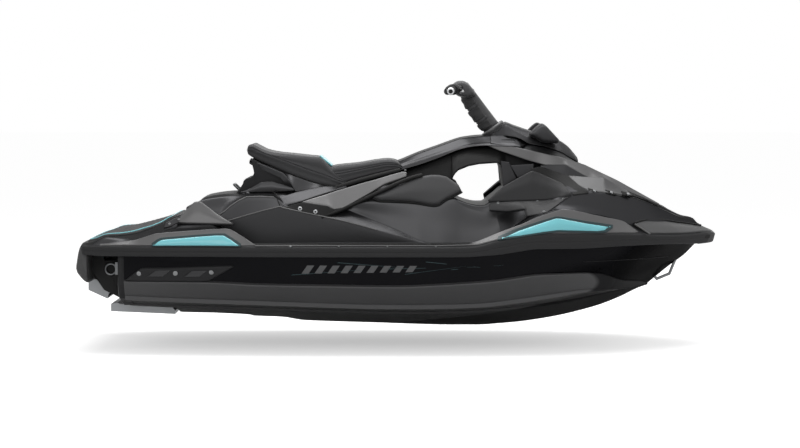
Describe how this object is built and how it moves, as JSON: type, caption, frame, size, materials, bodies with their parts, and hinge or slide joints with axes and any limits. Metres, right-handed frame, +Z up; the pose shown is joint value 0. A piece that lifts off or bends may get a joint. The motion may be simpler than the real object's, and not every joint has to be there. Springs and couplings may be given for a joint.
{
  "type": "personal watercraft",
  "caption": "Sit-down personal watercraft with a decked hull, long seat, handle pole steering, jet pump with nozzle and reverse bucket, front storage lid and folding step.",
  "frame": {"origin": "centre plane, amidships, at the floating waterline 0.2 m above the lowest point of the keel", "axes": "+X to the bow, +Y to port, +Z up"},
  "size_m": [3.14, 1.13, 1.214],
  "materials": {
    "hull_gloss": "gloss moulded composite",
    "body_charcoal": "satin metallic charcoal",
    "body_grey": "satin mid grey",
    "black_plastic": "fine-grained moulded plastic",
    "rail_rubber": "satin extrusion",
    "accent": "gloss cyan",
    "seat_vinyl": "grained marine vinyl",
    "foam_mat": "ribbed foam",
    "bare_alloy": "cast and anodised",
    "bright_steel": "stainless",
    "engine_alloy": "cast",
    "grip_rubber": "moulded grip"
  },
  "bodies": {
    "hull": {"hull": "hull_gloss", "stern_hull": "hull_gloss", "topsides": "hull_gloss", "deck": "body_charcoal", "foredeck": "body_charcoal", "pedestal": "body_charcoal", "front_cowl": "body_charcoal", "bow_cap": "black_plastic", "rub_rails": "rail_rubber", "side_covers": "body_grey", "side_inlays": "accent", "sponsons": "black_plastic", "deck_chocks": "body_grey", "seat_base": "body_charcoal", "side_strips": "body_grey", "knee_pads": "seat_vinyl", "bridge": "black_plastic", "bridge_cover": "body_charcoal", "dash": "black_plastic", "visor": "black_plastic", "hood_blades": "body_grey", "vent_panels": "body_charcoal", "foot_guards": "black_plastic", "mirrors": "black_plastic", "storage_tub": "black_plastic", "engine": "engine_alloy", "pump_housing": "bare_alloy", "ride_plate": "bare_alloy", "intake_grate": "bright_steel", "stern_bumper": "black_plastic", "mooring_eyes": "bright_steel", "tow_hook": "bright_steel", "deck_mats": "foam_mat", "pole_collar": "black_plastic"},
    "seat": {"seat": "seat_vinyl", "seat_bolster": "seat_vinyl"},
    "hood": {"hood": "body_charcoal"},
    "impeller": {"impeller": "bright_steel", "drive_shaft": "bright_steel"},
    "trim_ring": {"trim_ring": "black_plastic"},
    "steering_nozzle": {"steering_nozzle": "bare_alloy"},
    "reverse_bucket": {"reverse_bucket": "bright_steel"},
    "boarding_step": {"boarding_step": "black_plastic"},
    "steering": {"handle_pole": "black_plastic", "handlebar": "black_plastic", "bar_pad": "black_plastic", "grips": "grip_rubber", "controls": "black_plastic"}
  },
  "joints": [
    {"name": "steer", "type": "hinge", "parent": "hull", "child": "steering", "pos_m": [0.46, 0, 0.782], "axis": [-0.5807, 0, 0.8141], "range_deg": [-25, 25]},
    {"name": "trim", "type": "hinge", "parent": "hull", "child": "trim_ring", "pos_m": [-1.375, 0, 0.028], "axis": [0, 1, 0], "range_deg": [-6, 6]},
    {"name": "nozzle_steer", "type": "hinge", "parent": "trim_ring", "child": "steering_nozzle", "pos_m": [-1.375, 0, 0.028], "axis": [0, 0, 1], "range_deg": [-20, 20]},
    {"name": "reverse", "type": "hinge", "parent": "trim_ring", "child": "reverse_bucket", "pos_m": [-1.375, 0, 0.028], "axis": [0, 1, 0], "range_deg": [-6, 40]},
    {"name": "impeller_spin", "type": "hinge", "parent": "hull", "child": "impeller", "pos_m": [-1.2, 0, 0.028], "axis": [1, 0, 0], "continuous": true},
    {"name": "step_fold", "type": "hinge", "parent": "hull", "child": "boarding_step", "pos_m": [-1.562, 0, 0.103], "axis": [0, 1, 0], "range_deg": [-175, 0]},
    {"name": "hood_lift", "type": "hinge", "parent": "hull", "child": "hood", "pos_m": [1.286, 0, 0.402], "axis": [0, 1, 0], "range_deg": [0, 45]},
    {"name": "seat_lift", "type": "slide", "parent": "hull", "child": "seat", "axis": [-0.34, 0, 0.9404], "range_m": [0, 0.12]}
  ],
  "couplings": [
    {"joint": "nozzle_steer", "follows": "steer", "ratio": -0.8}
  ]
}
